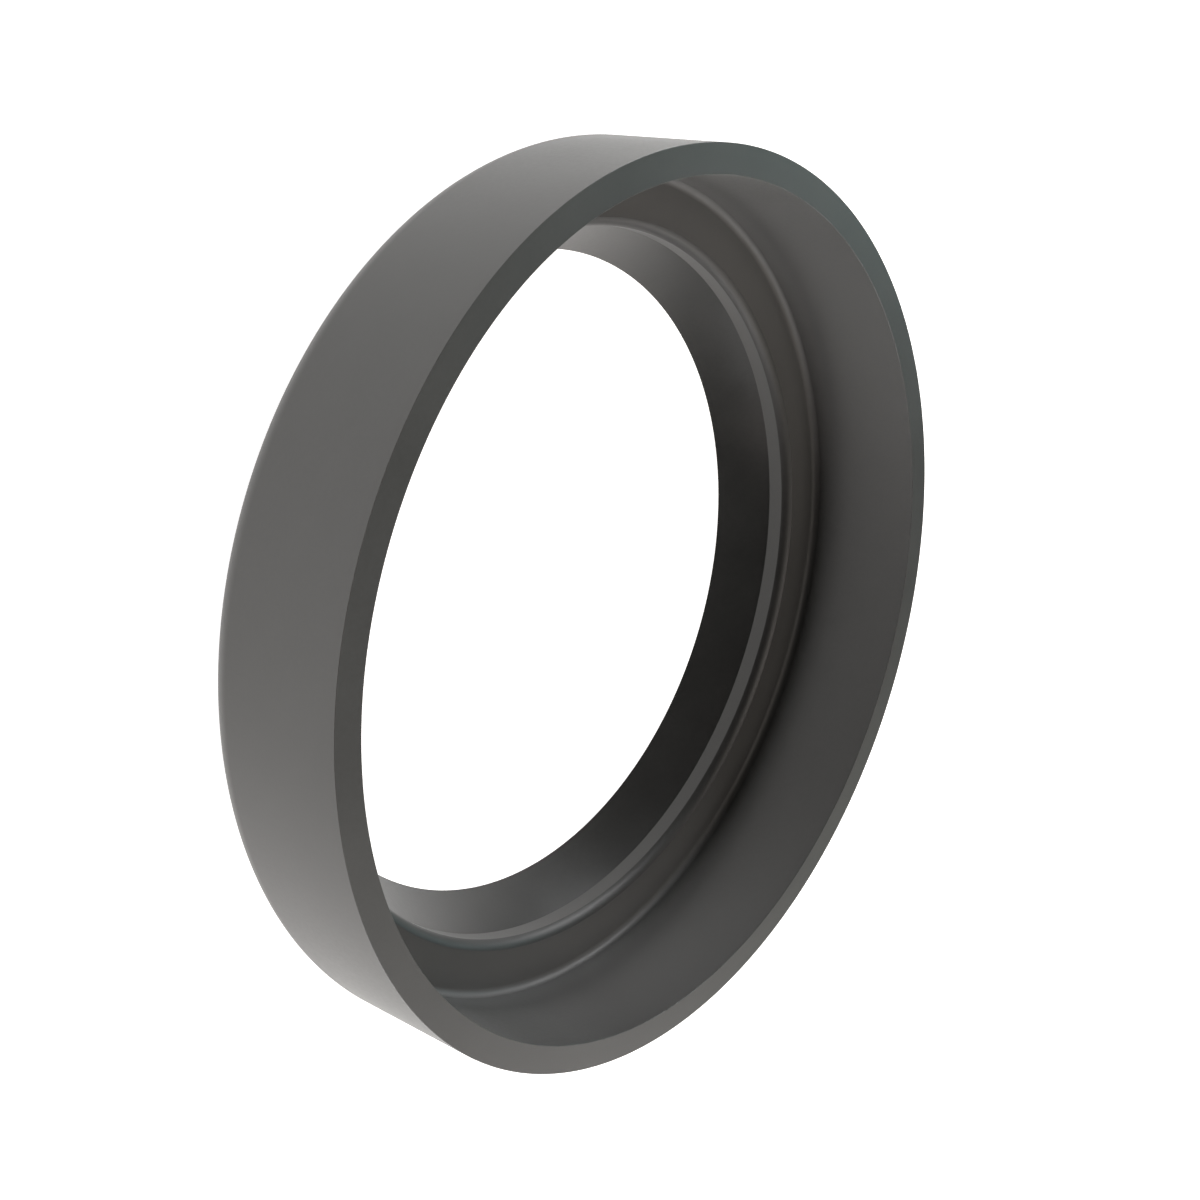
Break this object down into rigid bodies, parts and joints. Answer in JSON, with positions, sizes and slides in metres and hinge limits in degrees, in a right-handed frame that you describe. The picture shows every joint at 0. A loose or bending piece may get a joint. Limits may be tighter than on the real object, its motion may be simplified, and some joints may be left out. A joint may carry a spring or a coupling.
{
  "type": "shaft seal",
  "caption": "Round one-piece lip seal: an open shell that presses into a housing bore, a flat web, and a thin conical lip that runs on the shaft.",
  "frame": {"origin": "centre of the lip's flat end face, on the seal's axis, which is the lowest plane of the seal as it lies", "axes": "+Z along the seal's axis, out of the open side of the shell; the seal is round, so X and Y are any two radii"},
  "size_m": [0.04, 0.04, 0.0094],
  "materials": {
    "rubber": "satin moulded nitrile rubber"
  },
  "bodies": {
    "root": {"seal_ring": "rubber"}
  },
  "joints": []
}
